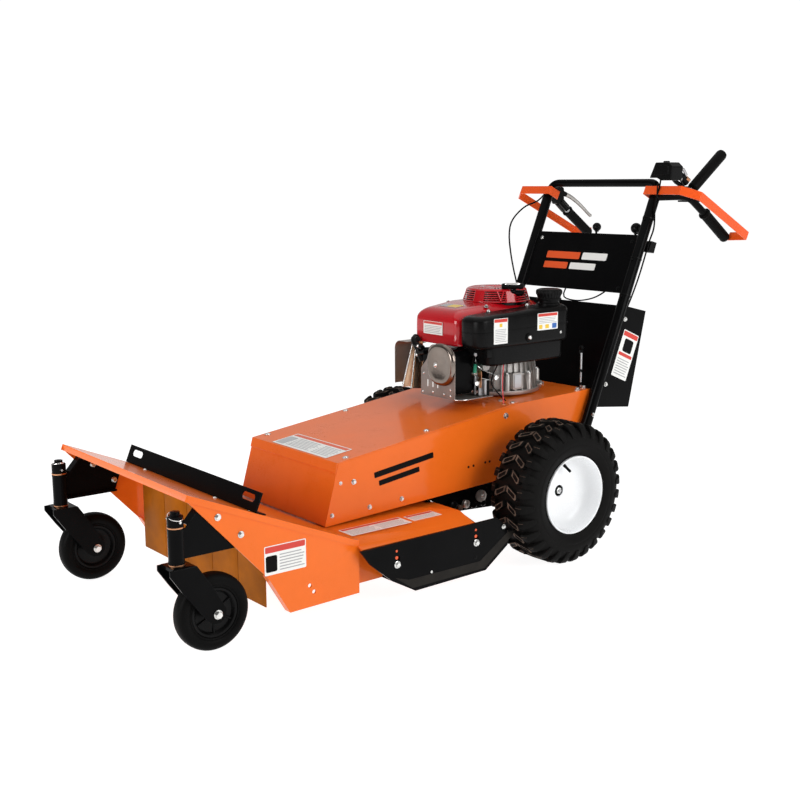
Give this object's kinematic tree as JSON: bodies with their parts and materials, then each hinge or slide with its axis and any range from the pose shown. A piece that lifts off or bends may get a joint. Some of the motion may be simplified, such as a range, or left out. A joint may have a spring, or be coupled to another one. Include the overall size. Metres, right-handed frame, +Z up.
{
  "type": "brush mower",
  "caption": "Walk-behind brush mower with a sloping open-front deck, hanging flaps, front casters, lugged rear wheels, top-mounted engine and leaning handlebar.",
  "frame": {"origin": "on the ground, under the middle of the whole machine", "axes": "+Z up, +Y to the rear where the operator walks, -Y to the front, +X to the side that carries the fuel tank"},
  "size_m": [0.875, 2.0582, 1.1616],
  "materials": {
    "orange": "glossy orange paint",
    "orange_guard": "orange-red paint",
    "black_coat": "satin black powder coat",
    "black_plastic": "moulded black plastic",
    "rubber": "black rubber",
    "tyre": "lugged tyre rubber",
    "white_rim": "gloss white paint",
    "flap_tan": "gold-brown coat",
    "red": "glossy red paint",
    "alloy": "cast",
    "chrome": "bright plated sheet",
    "bronze": "bronze tint",
    "steel": "turned steel",
    "zinc": "zinc plated",
    "label": "printed vinyl sticker"
  },
  "bodies": {
    "chassis": {"deck_shell": "orange", "chassis_frame": "black_coat", "belt_housing": "orange", "belt_cover_lid": "orange", "front_guard_bar": "black_coat", "skid_shoe_left": "black_coat", "skid_shoe_right": "black_coat", "caster_arm_left": "black_coat", "caster_arm_right": "black_coat", "caster_bush_left": "bronze", "caster_bush_right": "bronze", "transaxle": "alloy", "spindle_housing": "alloy", "drive_belt": "rubber", "engine_crankcase": "alloy", "engine_shroud": "red", "recoil_cover": "red", "fuel_tank": "black_plastic", "muffler": "chrome", "heat_shield": "bronze", "handle_frame": "black_coat", "hand_grip_left": "rubber", "hand_grip_right": "rubber", "hand_guard_left": "orange_guard", "hand_guard_right": "orange_guard", "console_panel": "black_coat", "rear_shield": "black_coat", "control_pod": "black_plastic", "brake_cable": "rubber", "throttle_cable": "rubber"},
    "caster_left": {"caster_fork_left": "black_coat", "caster_axle_bolt_left": "zinc"},
    "caster_right": {"caster_fork_right": "black_coat", "caster_axle_bolt_right": "zinc"},
    "caster_wheel_left": {"caster_hub_left": "black_plastic", "caster_tyre_left": "rubber"},
    "caster_wheel_right": {"caster_hub_right": "black_plastic", "caster_tyre_right": "rubber"},
    "rear_wheel_left": {"rear_tyre_left": "tyre", "rear_rim_left": "white_rim", "wheel_hub_left": "steel"},
    "rear_wheel_right": {"rear_tyre_right": "tyre", "rear_rim_right": "white_rim", "wheel_hub_right": "steel"},
    "flap_1": {"front_flap_1": "flap_tan"},
    "flap_2": {"front_flap_2": "flap_tan"},
    "flap_3": {"front_flap_3": "flap_tan"},
    "flap_4": {"front_flap_4": "flap_tan"},
    "flap_5": {"front_flap_5": "flap_tan"},
    "blade_rotor": {"blade_spindle": "steel", "cutter_blade": "steel"},
    "engine_shaft": {"engine_pulley": "steel"},
    "idler_arm": {"idler_arm": "zinc"},
    "idler_wheel": {"idler_pulley": "black_plastic"},
    "starter_grip": {"recoil_handle": "black_plastic"},
    "tank_cap": {"fuel_cap": "black_plastic"},
    "drive_lever": {"drive_lever": "rubber"},
    "brake_lever": {"brake_lever": "alloy"},
    "speed_lever": {"speed_lever": "black_plastic"},
    "throttle_lever": {"throttle_lever": "black_plastic"}
  },
  "joints": [
    {"name": "caster_swivel_left", "type": "hinge", "parent": "chassis", "child": "caster_left", "pos_m": [0.326, -0.99508, 0.266], "axis": [0, 0, 1], "continuous": true},
    {"name": "caster_swivel_right", "type": "hinge", "parent": "chassis", "child": "caster_right", "pos_m": [-0.326, -0.99508, 0.266], "axis": [0, 0, 1], "continuous": true},
    {"name": "caster_roll_left", "type": "hinge", "parent": "caster_left", "child": "caster_wheel_left", "pos_m": [0.326, -0.91209, 0.093], "axis": [1, 0, 0], "continuous": true},
    {"name": "caster_roll_right", "type": "hinge", "parent": "caster_right", "child": "caster_wheel_right", "pos_m": [-0.326, -0.91209, 0.093], "axis": [1, 0, 0], "continuous": true},
    {"name": "rear_wheel_spin_left", "type": "hinge", "parent": "chassis", "child": "rear_wheel_left", "pos_m": [0.355, 0.19492, 0.203], "axis": [1, 0, 0], "continuous": true},
    {"name": "rear_wheel_spin_right", "type": "hinge", "parent": "chassis", "child": "rear_wheel_right", "pos_m": [-0.355, 0.19492, 0.203], "axis": [1, 0, 0], "continuous": true},
    {"name": "flap_swing_1", "type": "hinge", "parent": "chassis", "child": "flap_1", "pos_m": [-0.2548, -0.75709, 0.276], "axis": [1, 0, 0], "range_deg": [-12, 55]},
    {"name": "flap_swing_2", "type": "hinge", "parent": "chassis", "child": "flap_2", "pos_m": [-0.1274, -0.75709, 0.276], "axis": [1, 0, 0], "range_deg": [-60, 55]},
    {"name": "flap_swing_3", "type": "hinge", "parent": "chassis", "child": "flap_3", "pos_m": [0, -0.75709, 0.276], "axis": [1, 0, 0], "range_deg": [-60, 55]},
    {"name": "flap_swing_4", "type": "hinge", "parent": "chassis", "child": "flap_4", "pos_m": [0.1274, -0.75709, 0.276], "axis": [1, 0, 0], "range_deg": [-60, 55]},
    {"name": "flap_swing_5", "type": "hinge", "parent": "chassis", "child": "flap_5", "pos_m": [0.2548, -0.75709, 0.276], "axis": [1, 0, 0], "range_deg": [-12, 55]},
    {"name": "blade_spin", "type": "hinge", "parent": "chassis", "child": "blade_rotor", "pos_m": [0, -0.30208, 0.2], "axis": [0, 0, 1], "continuous": true},
    {"name": "engine_spin", "type": "hinge", "parent": "chassis", "child": "engine_shaft", "pos_m": [0, 0.28491, 0.33], "axis": [0, 0, 1], "continuous": true},
    {"name": "idler_swing", "type": "hinge", "parent": "chassis", "child": "idler_arm", "pos_m": [0.155, 0.10991, 0.33], "axis": [0, 0, 1], "range_deg": [0, 12], "stiffness_Nm_per_rad": 2, "springref_deg": -11.46},
    {"name": "idler_spin", "type": "hinge", "parent": "idler_arm", "child": "idler_wheel", "pos_m": [0.10379, -0.00509, 0.33], "axis": [0, 0, 1], "continuous": true},
    {"name": "recoil_pull", "type": "slide", "parent": "chassis", "child": "starter_grip", "axis": [0.4048, -0.3199, 0.8566], "range_m": [0, 0.16], "stiffness_N_per_m": 40, "springref_m": -0.05},
    {"name": "fuel_cap_turn", "type": "hinge", "parent": "chassis", "child": "tank_cap", "pos_m": [0.15, 0.35991, 0.73], "axis": [0, 0, 1], "range_deg": [0, 90]},
    {"name": "drive_lever_tilt", "type": "hinge", "parent": "chassis", "child": "drive_lever", "pos_m": [0.268, 0.85691, 1.038], "axis": [1, 0, 0], "range_deg": [-25, 30]},
    {"name": "brake_lever_squeeze", "type": "hinge", "parent": "chassis", "child": "brake_lever", "pos_m": [-0.28, 0.84291, 1.033], "axis": [1, 0, 0], "range_deg": [-8, 0], "stiffness_Nm_per_rad": 2, "springref_deg": 11.46},
    {"name": "speed_lever_tilt", "type": "hinge", "parent": "chassis", "child": "speed_lever", "pos_m": [0.176, 0.70091, 0.85], "axis": [1, 0, 0], "range_deg": [-25, 8]},
    {"name": "throttle_lever_tilt", "type": "hinge", "parent": "chassis", "child": "throttle_lever", "pos_m": [0.012, 0.70091, 0.85], "axis": [1, 0, 0], "range_deg": [-25, 8]}
  ],
  "couplings": [
    {"joint": "engine_spin", "follows": "blade_spin", "ratio": 1.5455},
    {"joint": "idler_spin", "follows": "blade_spin", "ratio": -3.0357}
  ]
}
